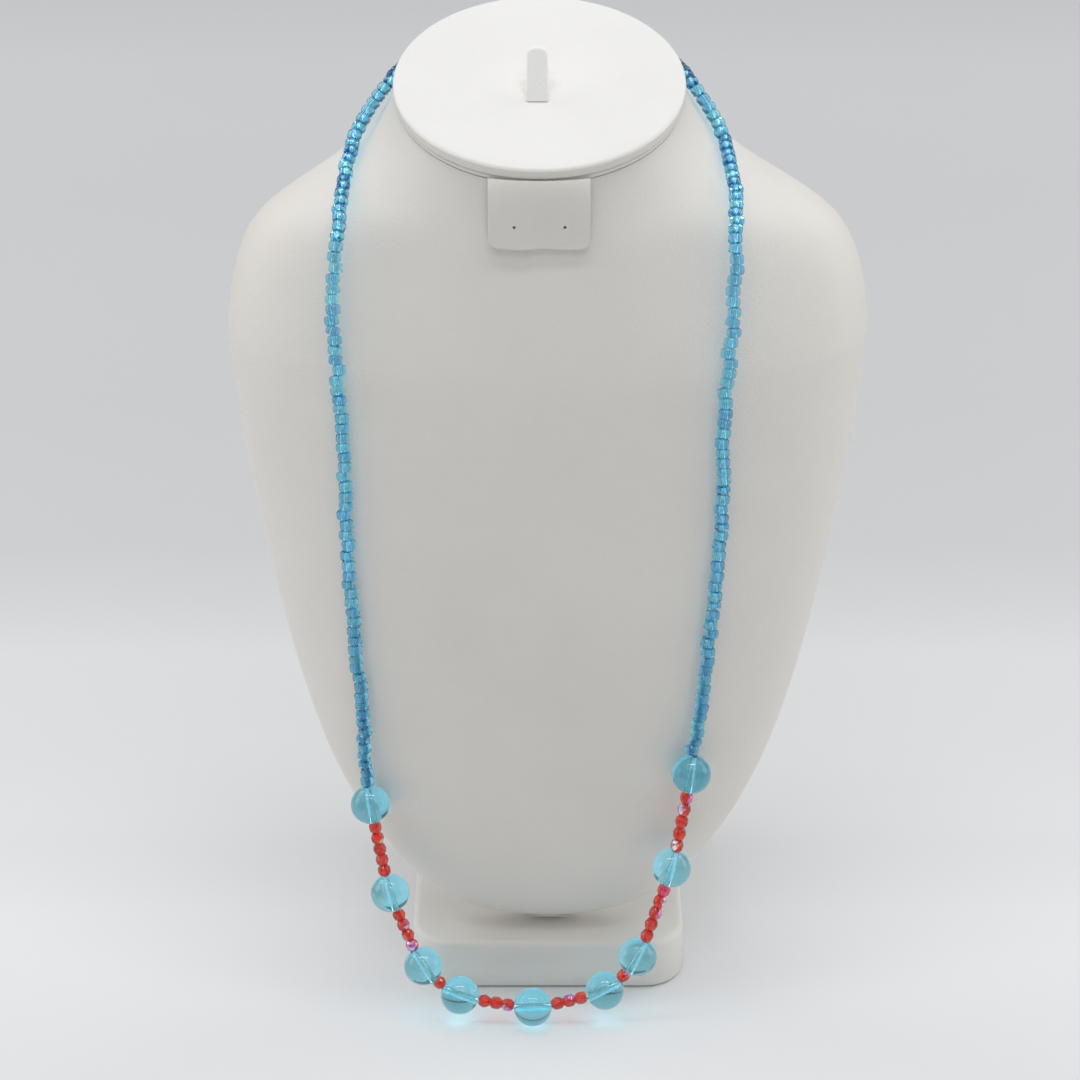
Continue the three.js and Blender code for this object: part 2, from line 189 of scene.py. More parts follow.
def pale_floor(name):
    """Matt paper, brightest in front and greyer where it lies further behind: painted shade, standing in
    for the light that falls off behind.
    """
    n = Nodes(name)
    split = n.add("SeparateXYZ", Vector=n.place())
    ramp = n.add("ValToRGB", Fac=n.spread(split.outputs["Y"], 0.0, 1.0))
    stops = ramp.color_ramp.elements
    for k, (place, share) in enumerate(FLOOR_PAINTED_SHADE):
        stop = stops[k] if k < 2 else stops.new(place)
        stop.position = place
        stop.color = rgb(0.80 * share, 0.806 * share, 0.812 * share)
    mottle = n.spread(n.noise(9, 3), 0.35, 0.65, 0.0, 0.02)
    n.link(n.blend(mottle, ramp.outputs["Color"], rgb(0.5, 0.5, 0.52)), n.shader.inputs["Base Color"])
    n.fixed(Roughness=0.75, Specular_IOR_Level=0.2)
    return n.material


COVER = leatherette("white_leatherette", rgb(0.795, 0.768, 0.72), rgb(0.77, 0.741, 0.692))
# A paler copy of the same cloth for the cap's upper faces: painted light from overhead.
CAP_PAINTED_LIGHT_COVER = leatherette("white_leatherette_cap_painted_light", rgb(0.885, 0.875, 0.85), rgb(0.86, 0.85, 0.82))
# A paler copy of the same cloth for the ring tab: painted light on its face.
TAB_PAINTED_LIGHT_COVER = leatherette("white_leatherette_tab_painted_light", rgb(0.93, 0.92, 0.89), rgb(0.91, 0.9, 0.87))
BLOCK_COVER = leatherette("white_leatherette_block", rgb(0.81, 0.79, 0.745), rgb(0.78, 0.76, 0.715))
AQUA = bead_glass("aqua_glass", rgb(0.80, 0.95, 0.98), 0.01, 1.0, rgb(0.78, 0.86, 0.9), 0.00003)
AQUA_BORE = bead_glass("aqua_glass_bore", rgb(0.93, 0.98, 1), 0.22, 1.0, rgb(1, 1, 1), 0.00002)
SEED = bead_glass("seed_bead_glass", rgb(0.88, 0.93, 0.95), 0.03, 0.94, rgb(0.06, 0.22, 0.34), 0.00001)
RED = bead_glass("red_bead_glass", rgb(0.93, 0.72, 0.70), 0.02, 0.88, rgb(0.4, 0.06, 0.1), 0.00001)
NYLON = nylon("nylon_thread")

# ---------------------------------------------------------------- meshes


def make(name, points, faces, material, nodes=(), smooth=True):
    """A piece from points in millimetres from the tip. It rides on the one body."""
    mesh = bpy.data.meshes.new(name)
    mesh.from_pydata([in_frame(p) for p in points], [], faces)
    mesh.validate()
    mesh.update()
    mesh.polygons.foreach_set("use_smooth", [smooth] * len(mesh.polygons))
    mesh.materials.append(material)
    piece = bpy.data.objects.new(name, mesh)
    bpy.context.collection.objects.link(piece)
    own(piece, nodes)
    return piece


def own(piece, nodes=()):
    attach(piece, "root")
    if nodes:
        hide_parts(*nodes)


def loft_faces(rows, count):
    """Sides and ends of a loft through rows of count points each, an even number."""
    faces = []
    for r in range(rows - 1):
        for i in range(count):
            j = (i + 1) % count
            faces.append((r * count + i, r * count + j, (r + 1) * count + j, (r + 1) * count + i))
    top = (rows - 1) * count
    for i in range(count // 2 - 1):
        far = count - 1 - i
        faces.append((i, far, far - 1, i + 1))
        faces.append((top + i, top + i + 1, top + far - 1, top + far))
    return faces


def loft(name, rings, material, nodes=()):
    return make(name, [p for ring in rings for p in ring], loft_faces(len(rings), len(rings[0])),
                material, nodes)


def turned(profile, sides, place):
    """Points and faces of a profile of (radius, height) pairs turned about its own Z and placed by a
    matrix. A radius of 0 makes one point, and a profile that ends where it starts is a ring."""
    points, rings, faces = [], [], []
    closed = profile[0] == profile[-1]
    for radius, z in profile[:-1] if closed else profile:
        if radius == 0:
            rings.append([len(points)] * sides)
            points.append(place @ Vector((0, 0, z)))
            continue
        rings.append(list(range(len(points), len(points) + sides)))
        for i in range(sides):
            turn = 2 * math.pi * i / sides
            points.append(place @ Vector((radius * math.cos(turn), radius * math.sin(turn), z)))
    if closed:
        rings.append(rings[0])
    for low, high in zip(rings, rings[1:]):
        for i in range(sides):
            j = (i + 1) % sides
            corners = []
            for k in (low[i], low[j], high[j], high[i]):
                if k not in corners:
                    corners.append(k)
            if len(corners) > 2:
                faces.append(corners)
    return points, faces


def arc(x, z, radius, start, end, steps):
    """Profile points on an arc about (x, z), angles in degrees from +X."""
    return [
        (x + radius * math.cos(math.radians(start + (end - start) * i / steps)),
         z + radius * math.sin(math.radians(start + (end - start) * i / steps)))
        for i in range(steps + 1)
    ]


def sharp_by_angle(piece, degrees):
    piece.data.set_sharp_from_angle(angle=math.radians(degrees))


def bevel(piece, width, segments=3, angle=40):
    mod = piece.modifiers.new("edges", "BEVEL")
    mod.width = width * MM
    mod.segments = segments
    mod.limit_method = "ANGLE"
    mod.angle_limit = math.radians(angle)
    mod.harden_normals = True


def keep_modifiers(piece):
    """Gives a piece its mesh as the modifiers leave it."""
    bpy.context.view_layer.update()
    mesh = bpy.data.meshes.new_from_object(piece.evaluated_get(bpy.context.evaluated_depsgraph_get()))
    piece.modifiers.clear()
    piece.data = mesh


# ---------------------------------------------------------------- the bust

BOARD_WIDTH, BOARD_HEIGHT, BOARD_FRONT, BOARD_BACK = 193, 257, 47, 6
BOARD_LEAN, TIP_HEIGHT = 12.9, 20
NECK_DIAMETER, NECK_FORWARD, NECK_OFFSET, NECK_TILT = 84.6, 8.1, -2.5, 17.8

# height, width, front, back and neck, as in the part's source.
SECTIONS = [
    (0, 0.035, 0.02, 0.4, 0),
    (0.004, 0.11, 0.06, 0.65, 0),
    (0.016, 0.25, 0.14, 0.9, 0),
    (0.038, 0.36, 0.25, 1, 0),
    (0.062, 0.44, 0.35, 1, 0),
    (0.11, 0.545, 0.5, 1, 0),
    (0.164, 0.635, 0.64, 1, 0),
    (0.242, 0.73, 0.78, 1, 0),
    (0.35, 0.82, 0.895, 1, 0),
    (0.487, 0.9, 0.98, 1, 0),
    (0.623, 0.967, 1, 1, 0),
    (0.732, 1, 0.99, 1, 0),
    (0.794, 0.996, 0.97, 1, 0),
    (0.833, 0.971, 0.947, 1, 0.02),
    (0.86, 0.951, 0.93, 1, 0.05),
    (0.88, 0.924, 0.92, 1, 0.12),
    (0.902, 0.842, 0.9, 1, 0.3),
    (0.923, 0.741, 0.875, 1, 0.5),
    (0.942, 0.74, 0.845, 1, 0.7),
    (0.966, 0.735, 0.75, 1, 0.87),
    (1, 0.73, 0.7, 1, 1),
]


def between(a, b, c, d, t):
    return b + 0.5 * ((c - a) * t + (2 * a - 5 * b + 4 * c - d) * t * t + (3 * b - 3 * c + d - a) * t**3)


def bust_section(place):
    last = len(SECTIONS) - 1
    row = min(int(place), last - 1)
    rows = [SECTIONS[max(0, min(last, row + k))] for k in (-1, 0, 1, 2)]
    height, width, front, back, neck = (between(*column, place - row) for column in zip(*rows))
    neck = max(0.0, min(1.0, neck))
    rise = BOARD_HEIGHT * height
    mix = lambda chest, round_: chest + (round_ - chest) * neck
    return {
        "centre": Vector((NECK_OFFSET * neck,
                          rise * math.tan(math.radians(BOARD_LEAN)) - NECK_FORWARD * neck,
                          TIP_HEIGHT + rise)),
        "half": mix(BOARD_WIDTH / 2 * width, NECK_DIAMETER / 2),
        "front": mix(BOARD_FRONT * front, NECK_DIAMETER / 2),
        "back": mix(BOARD_BACK * back, NECK_DIAMETER / 2),
        "front_power": mix(2.2, 2),
        "back_power": mix(4, 2),
        "tilt": NECK_TILT * neck,
    }


EASING = 3  # rounds of easing, for each step between two sections, squared
EASED_FROM = 11  # the section at which the easing starts
EASED_ENDS = 1.5  # sections over which it fades in and out

# The hollow beside the foot of the neck: the most that it takes, where it starts and is full on either
# side of the middle, and its height and reach up and down.
HOLLOW, HOLLOW_INSIDE, HOLLOW_OUTSIDE = 0.13, 12, 55
HOLLOW_AT, HOLLOW_REACH = 240, 20


def hollow(across, high):
    """How much the front falls back beside the foot of the neck, as a share of its depth."""
    beside = max(0.0, min(1.0, (abs(across) - HOLLOW_INSIDE) / (HOLLOW_OUTSIDE - HOLLOW_INSIDE)))
    return HOLLOW * beside**2 * (3 - 2 * beside) * math.exp(-(((high - HOLLOW_AT) / HOLLOW_REACH) ** 2))


def bust_ring(place, sides):
    """One closed ring of the bust: the round front, then the flatter back."""
    s = bust_section(place)
    spin = rotation(s["tilt"])
    ring = []
    for i in range(sides):
        turn = 2 * math.pi * i / sides
        across, along = math.cos(turn), math.sin(turn)
        power, depth = (s["front_power"], s["front"]) if along < 0 else (s["back_power"], s["back"])
        share = lambda v: math.copysign(abs(v) ** (2 / power), v)
        side = s["half"] * share(across)
        if along < 0:
            depth = s["front"] * (1 - hollow(side, s["centre"].z))
        ring.append(spin @ Vector((side, depth * share(along), 0)) + s["centre"])
    return ring


def bust_rings(steps, sides):
    """Rings up the whole bust, eased into each other where the chest turns into the neck."""
    rings = np.array([bust_ring(k / steps, sides) for k in range(steps * (len(SECTIONS) - 1) + 1)])
    first, last = EASED_FROM * steps, len(rings) - 2
    for _ in range(EASING * steps**2):
        eased = (rings[first - 1:last] + rings[first:last + 1] * 2 + rings[first + 1:last + 2]) / 4
        row = np.arange(len(eased))
        share = np.minimum(1, np.minimum(row, row[::-1]) / (EASED_ENDS * steps))
        rings[first:last + 1] += (eased - rings[first:last + 1]) * share[:, None, None]
    return rings


def bust_skin():
    """Points on the bust with the direction straight out at each, for keeping beads off it."""
    rings = bust_rings(4, 64)
    up = rings[2:] - rings[:-2]
    round_ = (np.roll(rings, -1, 1) - np.roll(rings, 1, 1))[1:-1]
    out = np.cross(round_, up)
    out /= np.linalg.norm(out, axis=2, keepdims=True) + 1e-12
    return rings[1:-1].reshape(-1, 3), out.reshape(-1, 3)


SKIN, SKIN_OUT = bust_skin()


def off_bust(point, radius):
    """The point moved straight off the bust where a ball of that radius wouldn't clear it, and the
    direction that is straight out there."""
    nearest = int(np.argmin(((SKIN - np.array(point)) ** 2).sum(axis=1)))
    out = Vector(SKIN_OUT[nearest])
    short = radius - (Vector(point) - Vector(SKIN[nearest])).dot(out)
    return Vector(point) + out * max(0.0, short), out


def bust_body():
    piece = loft("bust_cover", bust_rings(8, 144).tolist(), COVER, ["bust_body"])
    sharp_by_angle(piece, 50)


CAP_SIDE = 0.45  # faces of the cap that face up less than this have the board's own cover, and the faces above it a paler copy of it: painted light from overhead


def neck_top():
    """Rim, cap and ring tab on the neck's tilted top."""
    top = bust_section(len(SECTIONS) - 1)
    stand = Matrix.Translation(top["centre"]) @ rotation(top["tilt"])
    rim, rim_high, soft = NECK_DIAMETER / 2 + 0.2, 1.5, 0.55
    profile = [(0, 0)] + arc(rim - soft, soft, soft, -90, 0, 4)
    profile += arc(rim - soft, rim_high - soft, soft, 0, 90, 4) + [(0, rim_high)]
    points, faces = turned(profile, 128, stand @ Matrix.Translation((0, 0, GAP)))
    sharp_by_angle(make("neck_rim_cover", points, faces, COVER, ["neck_rim"]), 60)

    cap, cap_high, rounding, under, crown = NECK_DIAMETER / 2 + 0.6, 3.4, 1.25, 0.6, 0.15
    profile = [(0, 0)] + arc(cap - under, under, under, -90, 0, 4)
    profile += arc(cap - rounding, cap_high - rounding, rounding, 0, 84, 7)
    profile += [(r, cap_high + crown * (1 - (r / cap) ** 2)) for r in (38, 33, 26, 18, 9, 0)]
    points, faces = turned(profile, 128, stand @ Matrix.Translation((0, 0, rim_high + 2 * GAP)))
    piece = make("neck_cap_cover", points, faces, CAP_PAINTED_LIGHT_COVER, ["neck_cap"])
    piece.data.materials.append(COVER)
    upward = stand.to_quaternion() @ Vector((0, 0, 1))
    # The upward faces get the paler copy of the cloth: painted light, as the same cloth stays darker on the
    # sides.
    for face in piece.data.polygons:
        face.material_index = int(face.normal.dot(upward) < CAP_SIDE)
    sharp_by_angle(piece, 60)

    foot, head, thick, high, arch = 3.4, 3.1, 2.2, 10.2, 1.3
    lean, to_side, forward = math.tan(math.radians(50)), -0.6, 10.4
    outline = [(-foot, 0), (foot, 0)]
    outline += [(head * math.cos(math.pi * k / 16), high - arch + arch * math.sin(math.pi * k / 16))
                for k in range(17)]
    tab = stand @ Matrix.Translation((to_side, -forward, rim_high + cap_high + 3 * GAP))
    points = [tab @ Vector((x, y + z * lean, z)) for y in (-thick / 2, thick / 2) for x, z in outline]
    count = len(outline)
    faces = [tuple(range(count)), tuple(range(2 * count - 1, count - 1, -1))]
    faces += [(i, i + count, (i + 1) % count + count, (i + 1) % count) for i in range(count)]
    piece = make("ring_tab_cover", points, faces, TAB_PAINTED_LIGHT_COVER, ["ring_tab"])
    bevel(piece, 0.5, 4)


def earring_flap():
    """A padded strip that folds over the rim and hangs with a slightly wavy lower edge. Two pin holes
    for earrings go right through."""
    top = bust_section(len(SECTIONS) - 1)
    radius = NECK_DIAMETER / 2 + 0.2
    edge = rotation(top["tilt"]) @ Vector((0, -radius, 1.5 + GAP)) + top["centre"]
    width, length, thick, corner, lift = 29, 19.5, 1.4, 2.4, 2
    across, down = 44, 34
    front, back = [], []
    for r in range(down + 1):
        drop = r / down
        low = max(0.0, drop * length - (length - corner))
        trim = corner - math.sqrt(max(0.0, corner**2 - low**2))
        out = lift * (0.75 * (1 - math.exp(-7 * drop)) + 0.25 * drop**3)
        bend = radius * (1 + 2 * drop)
        for c in range(across + 1):
            u = 2 * c / across - 1
            x = (width / 2 - trim) * u
            # The lower the row, the more it waves out and in, and up and down.
            wave = drop**3 * (0.3 * math.sin(3.3 * u + 0.6) + 0.16 * math.sin(8.2 * u + 2))
            y = bend - math.sqrt(bend**2 - x**2) - GAP - out + wave * 0.6
            z = -length * drop + 0.2 * drop**4 * math.sin(5 * u + 1)
            inner, _ = off_bust(edge + Vector((x, y, z)), GAP)
            back.append(inner)
            front.append(inner - Vector((0, thick, 0)))
    count = across + 1
    faces = []
    side = len(front)
    for r in range(down):
        for c in range(across):
            a = r * count + c
            faces.append((a, a + count, a + count + 1, a + 1))
            faces.append((side + a, side + a + 1, side + a + count + 1, side + a + count))
    rim = [c for c in range(count)] + [r * count + across for r in range(1, down + 1)]
    rim += [down * count + c for c in range(across - 1, -1, -1)]
    rim += [r * count for r in range(down - 1, 0, -1)]
    for a, b in zip(rim, rim[1:] + rim[:1]):
        faces.append((a, b, side + b, side + a))
    piece = make("earring_flap_cover", front + back, faces, COVER, ["earring_flap"])
    bevel(piece, 0.45, 3, 50)
    pin_radius, reach, hole_drop = 0.48, 12, 13.1
    for x in (-7.1, 7.3):
        hole = edge + Vector((x, 0, -hole_drop))
        spin = Matrix.Translation(hole) @ Matrix.Rotation(math.pi / 2, 4, "X")
        profile = [(0, -reach), (pin_radius, -reach), (pin_radius, reach), (0, reach)]
        points, sides = turned(profile, 20, spin)
        mesh = bpy.data.meshes.new("pin")
        mesh.from_pydata([in_frame(p) for p in points], [], sides)
        pin = bpy.data.objects.new("pin", mesh)
        bpy.context.collection.objects.link(pin)
        cut = piece.modifiers.new("pin_hole", "BOOLEAN")
        cut.operation, cut.solver, cut.object = "DIFFERENCE", "EXACT", pin
        keep_modifiers(piece)
        bpy.data.objects.remove(pin)


BLOCK_HIGH = 17.5


def block():
    """A covered block on a slightly smaller sheet, with round corners and an eased upper edge."""
    width, depth, high, corner = 87, 95, BLOCK_HIGH, 12.5
    upper, lower = 2.2, 0.6
    sheet, sheet_high = 2.4, 0.55
    edges = [(sheet, 0), (sheet, sheet_high)]
    edges += [(lower - lower * math.sin(a), sheet_high + lower - lower * math.cos(a))
              for a in (math.pi / 2 * k / 4 for k in range(5))]
    edges += [(upper - upper * math.cos(a), high - upper + upper * math.sin(a))
              for a in (math.pi / 2 * k / 8 for k in range(9))]
    rings = []
    for inset, z in edges:
        ring = []
        for quarter in range(4):
            right, rear = (1 if quarter in (0, 3) else -1), (1 if quarter < 2 else -1)
            for i in range(17):
                angle = math.pi / 2 * (quarter + i / 16)
                ring.append(Vector((right * (width / 2 - corner) + (corner - inset) * math.cos(angle),
                                    depth / 2 - BASE_FORWARD + rear * (depth / 2 - corner)
                                    + (corner - inset) * math.sin(angle), z)))
        rings.append(ring)
    piece = loft("base_block_cover", rings, BLOCK_COVER, ["base_block"])
    sharp_by_angle(piece, 50)


def rib():
    """The upright behind the board, with a dark notch under its toe."""
    lean = math.radians(BOARD_LEAN)
    bottom, width, toe, depth, high = BLOCK_HIGH + GAP, 12.5, 1, 46, 92
    top, tip = bottom + high, TIP_HEIGHT - GAP
    back = lambda z: math.tan(lean) * (z - TIP_HEIGHT) + BOARD_BACK + GAP / math.cos(lean)
    notch, notch_end, top_depth = 1.3, 6, 5
    side = [(-toe, bottom + notch), (notch_end, bottom + notch), (notch_end, bottom), (depth, bottom),
            (back(top) + top_depth, top), (back(top), top), (back(tip), tip), (-toe, tip)]
    points = [(x, y, z) for x in (-width / 2, width / 2) for y, z in side]
    count = len(side)
    faces = [tuple(range(count - 1, -1, -1)), tuple(range(count, 2 * count))]
    faces += [(i, (i + 1) % count, (i + 1) % count + count, i + count) for i in range(count)]
    bevel(make("support_rib_cover", points, faces, BLOCK_COVER, ["support_rib"]), 0.35, 3)


# ---------------------------------------------------------------- the necklace

SEED_ROUTE = [
    (-55.6, 30.3, 0.249), (-56.2, 34.8, 0.35), (-58.2, 38, 0.455), (-59.2, 40.1, 0.553),
    (-59.8, 41.3, 0.667), (-61.4, 40.5, 0.757), (-62, 37.5, 0.84), (-60.6, 34.7, 0.881),
    (-60, 24.1, 0.911), (-59, 14.2, 0.929), (-57, 6, 0.951), (-53.4, 1.3, 0.973),
    (-47, -1.6, 1), (-43.3, -10.7, 1.008), (-37.5, -19.7, 1.016), (-21, -28.7, 1.025),
    (-2.5, -31.9, 1.029), (16, -28.7, 1.025), (32.5, -19.7, 1.016), (38.3, -10.7, 1.008),
    (42, -1.5, 1.002), (48.2, 1.3, 0.973), (51.4, 6.6, 0.953), (53.2, 17.3, 0.932),
    (54, 26.4, 0.914), (53.8, 36.7, 0.884), (53.7, 40.5, 0.844), (52.6, 43.4, 0.761),
    (50.7, 44.1, 0.673), (51, 43.3, 0.58), (49.2, 42.5, 0.486), (46.8, 40.2, 0.387),
    (44.7, 38.6, 0.309),
]
LARGE = ["left_1", "left_2", "left_3", "left_4", "centre", "right_4", "right_3", "right_2", "right_1"]
REDS_AFTER = [5, 4, 1, 3, 3, 1, 5, 5, 0]


def middle(node):
    low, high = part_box(node)
    return from_frame((Vector(low) + Vector(high)) / 2)


def seed_points():
    lean = math.tan(math.radians(BOARD_LEAN))
    points = []
    for across, forward, height in SEED_ROUTE:
        rise = height * BOARD_HEIGHT
        points.append(off_bust((across, rise * lean - forward, TIP_HEIGHT + rise), 2.3)[0])
    return points


def front_beads():
    """The front beads in their order on the thread, with the direction of each one's hole."""
    beads, red = [], 0
    for name, reds in zip(LARGE, REDS_AFTER):
        beads.append({"node": "large_bead_" + name, "half": LARGE_RADIUS, "large": True})
        for _ in range(reds):
            red += 1
            beads.append({"node": f"red_bead_{red:02d}", "number": red, "large": False})
    for bead in beads:
        bead["at"] = middle(bead["node"])
    route = seed_points()
    large = [bead for bead in beads if bead["large"]]
    stops = [route[0]] + [bead["at"] for bead in large] + [route[-1]]
    for k, bead in enumerate(large):
        bead["axis"] = (stops[k + 2] - stops[k]).normalized()
    for k, bead in enumerate(beads):
        if bead["large"]:
            continue
        near = (beads[k - 1], beads[k + 1])
        line = [other["at"] for other in (near[0], bead, near[1]) if not other["large"]]
        if len(line) == 1:
            line = [other["at"] for other in near]
        bead["axis"] = (line[-1] - line[0]).normalized()
        away = [(bead["at"] - other["at"]).length for other in near]
        room = [far - LARGE_RADIUS if other["large"] else far / 2 for far, other in zip(away, near)]
        bead["half"] = min(min(room) - 0.02, 2.05)
    return beads


def standing(at, axis, spin=0.0):
    """Places a bead made about Z at a point with its hole along an axis."""
    turn = Vector((0, 0, 1)).rotation_difference(axis)
    return Matrix.Translation(at) @ turn.to_matrix().to_4x4() @ Matrix.Rotation(spin, 4, "Z")


# Painted shade on the two uppermost glass beads: how much deeper their colour is and how much darker they
# are than the rest, standing in for the shaded board seen behind them.
GLASS_PAINTED_SHADE = {"large_bead_left_1": (1.15, 0.87), "large_bead_right_1": (1.35, 0.8)}
AQUA_TINT, BORE_TINT = (0.31, 0.83, 0.995), (0.8, 0.97, 1.0)
LARGE_RADIUS = 6.0


def large_bead(bead):
    """A drilled round bead with a clear bore."""
    radius, bore, lip, dip, sides = LARGE_RADIUS, 0.75, 0.12, 0.25, 72
    start = math.degrees(math.asin((bore + lip) / radius))
    end = radius * math.cos(math.asin(bore / radius)) - dip
    profile = [(bore, -end)] + arc(0, 0, radius, -90 + start, 90 - start, 48) + [(bore, end)]
    profile += [profile[0]]
    points, faces = turned(profile, sides, standing(bead["at"], bead["axis"]))
    name = bead["node"].replace("large_bead", "glass_bead")
    piece = make(name, points, faces, AQUA, [bead["node"]])
    piece.data.materials.append(AQUA_BORE)
    for face in list(piece.data.polygons)[-sides:]:
        face.material_index = 1
    # Painted shade: these beads are tinted deeper and darker than the rest.
    depth, painted_dimming = GLASS_PAINTED_SHADE.get(bead["node"], (1.0, 1.0))
    tint = [c**depth * painted_dimming for c in AQUA_TINT] + [1.0]
    lining = list(BORE_TINT) + [1.0]
    tints = [lining if face.material_index else tint for face in piece.data.polygons]
    attribute(piece.data, "tint", tints, "FLOAT_COLOR")
    attribute(piece.data, "film", [0.0] * len(piece.data.polygons), "FLOAT")
    sharp_by_angle(piece, 35)


def attribute(mesh, name, values, kind):
    """Gives each face corner one value, face by face."""
    layer = mesh.attributes.new(name, kind, "CORNER")
    flat = []
    for face, value in zip(mesh.polygons, values):
        flat.extend(value * face.loop_total if kind == "FLOAT_COLOR" else [value] * face.loop_total)
    layer.data.foreach_set("color" if kind == "FLOAT_COLOR" else "value", flat)


# Where the photograph shows the iridescent coat: bead number, the direction that its coat faces,
# how strong it is, and its colours.
MAGENTA, VIOLET = (0.85, 0.18, 0.62), (0.62, 0.42, 0.95)
WHITE, YELLOW = (0.95, 0.9, 0.98), (0.95, 0.85, 0.35)
COATED = {
    2: ((0.8, -0.4, -0.5), 1.0, (YELLOW, WHITE, MAGENTA)),
    7: ((0.9, -0.4, 0.1), 0.7, (WHITE, MAGENTA)),
    8: ((-0.6, -0.5, -0.6), 1.0, (WHITE, YELLOW, VIOLET)),
    9: ((0.0, -0.9, 0.4), 1.0, (MAGENTA, VIOLET, WHITE)),
    13: ((-0.4, -0.7, -0.5), 1.0, (WHITE, VIOLET, MAGENTA)),
    15: ((0.0, 0.1, 1.0), 1.0, (VIOLET, MAGENTA)),
    17: ((0.7, 0.0, 0.7), 0.8, (MAGENTA, VIOLET)),
    20: ((0.8, -0.4, -0.3), 0.9, (VIOLET, MAGENTA)),
    21: ((0.9, -0.3, 0.2), 0.8, (VIOLET, WHITE)),
    22: ((0.1, -0.8, 0.3), 0.4, (MAGENTA,)),
    23: ((-0.7, -0.5, 0.3), 1.0, (YELLOW, WHITE, VIOLET)),
    26: ((-0.8, -0.4, 0.2), 1.0, (WHITE, VIOLET)),
    27: ((0.9, -0.3, 0.1), 0.7, (VIOLET,)),
}


RED_LINING, RED_FILM = Vector((1.0, 0.2, 0.12)), 0.6


def red_bead(number, bead):
    """A drilled bead with rows of three-cornered facets, each facet with its own tone or coat."""
    sides, bore, dip = 8, 0.55, 0.05
    end, shoulder, waist, shoulder_share = 1.2, 1.85, 2.08, 0.56
    half = bead["half"]
    # Each row's radius, height and turn in sides.
    rows = [(bore, dip - half, 0), (end, -half, 0), (shoulder, -half * shoulder_share, 0.5),
            (waist, 0, 0), (shoulder, half * shoulder_share, 0.5), (end, half, 0),
            (bore, half - dip, 0)]
    place = standing(bead["at"], bead["axis"], chance.uniform(0, math.pi))
    points, faces = [], []
    for radius, z, shift in rows:
        for i in range(sides):
            turn = 2 * math.pi * (i + shift) / sides
            points.append(place @ Vector((radius * math.cos(turn), radius * math.sin(turn), z)))
    last = len(rows) - 1
    for r in range(last):
        for i in range(sides):
            j = (i + 1) % sides
            low, high = r * sides, (r + 1) * sides
            if r in (0, last - 1):
                faces.append((low + i, low + j, high + j, high + i))
            elif r in (1, 3):
                faces.append((low + i, low + j, high + i))
                faces.append((low + j, high + j, high + i))
            else:
                faces.append((low + i, high + j, high + i))
                faces.append((low + i, low + j, high + j))
    top, outside = last * sides, len(faces)
    faces += [(top + i, top + (i + 1) % sides, (i + 1) % sides, i) for i in range(sides)]
    name = bead["node"].replace("red_bead", "faceted_bead")
    piece = make(name, points, faces, RED, [bead["node"]], smooth=False)
    direction, strength, palette = COATED.get(number, ((0, 0, 1), 0.0, (VIOLET,)))
    direction = Vector(direction).normalized()
    tints, films = [], []
    for face in piece.data.polygons:
        glow = chance.uniform(0.5, 1.3)
        base = Vector((min(1.0, 0.95 * glow), 0.055 * glow**2, 0.022 * glow**2))
        film = strength * max(0.0, min(1.0, (face.normal.dot(direction) - 0.5) / 0.25))
        base = base.lerp(Vector(chance.choice(palette)), 0.9 * film)
        if face.index >= outside:
            base, film = RED_LINING, RED_FILM
        tints.append([min(1.0, c) for c in base] + [1.0])
        films.append(film)
    attribute(piece.data, "tint", tints, "FLOAT_COLOR")
    attribute(piece.data, "film", films, "FLOAT")
    bevel(piece, 0.09, 2, 8)


class Route:
    """A centripetal Catmull-Rom curve through points, read by the length along it."""

    def __init__(self, points):
        self.dense = dense_curve(points)
        self.lengths = [0.0]
        for a, b in zip(self.dense, self.dense[1:]):
            self.lengths.append(self.lengths[-1] + (b - a).length)
        self.total = self.lengths[-1]

    def place(self, want):
        k = max(0, min(len(self.dense) - 2, int(np.searchsorted(self.lengths, want)) - 1))
        t = (want - self.lengths[k]) / (self.lengths[k + 1] - self.lengths[k])
        a, b = self.dense[k], self.dense[k + 1]
        return a.lerp(b, t), (b - a).normalized()


def dense_curve(points):
    ends = [points[0] * 2 - points[1]] + points + [points[-1] * 2 - points[-2]]
    dense = []
    for a, b, c, d in zip(ends, ends[1:], ends[2:], ends[3:]):
        t1 = (b - a).length ** 0.5
        t2 = t1 + (c - b).length ** 0.5
        t3 = t2 + (d - c).length ** 0.5
        for k in range(24):
            t = t1 + (t2 - t1) * k / 24
            a1 = a * ((t1 - t) / t1) + b * (t / t1)
            a2 = b * ((t2 - t) / (t2 - t1)) + c * ((t - t1) / (t2 - t1))
            a3 = c * ((t3 - t) / (t3 - t2)) + d * ((t - t2) / (t3 - t2))
            b1 = a1 * ((t2 - t) / t2) + a2 * (t / t2)
            b2 = a2 * ((t3 - t) / (t3 - t1)) + a3 * ((t - t1) / (t3 - t1))
            dense.append(b1 * ((t2 - t) / (t2 - t1)) + b2 * ((t - t1) / (t2 - t1)))
    return dense + [points[-1]]


def seed_route(beads):
    points = seed_points()
    first, last = beads[0]["at"], beads[-1]["at"]
    reach = LARGE_RADIUS + 0.15
    start = first + (points[0] - first).normalized() * reach
    end = last + (points[-1] - last).normalized() * reach
    return Route([start] + points + [end])


# The squareness of a seed bead's section, where 2 is an ellipse, how much metal its lining has, how
# far most beads lie to either side of the thread, and how far the odd one is pushed out.
SEED_POWER = 3.0
SEED_FILM = 0.75
SEED_JOG, SEED_PUSH = 0.24, 0.6
CALM_ABOVE = 268  # over this height the beads lie in line
SEED_BLUE, SEED_AQUA = Vector((0.12, 0.6, 0.96)), Vector((0.22, 0.8, 0.98))
# Painted shade: the darker blue at each seed bead's ends, where it meets the next one.
SEED_END_SHADE = Vector((0.04, 0.36, 0.7))
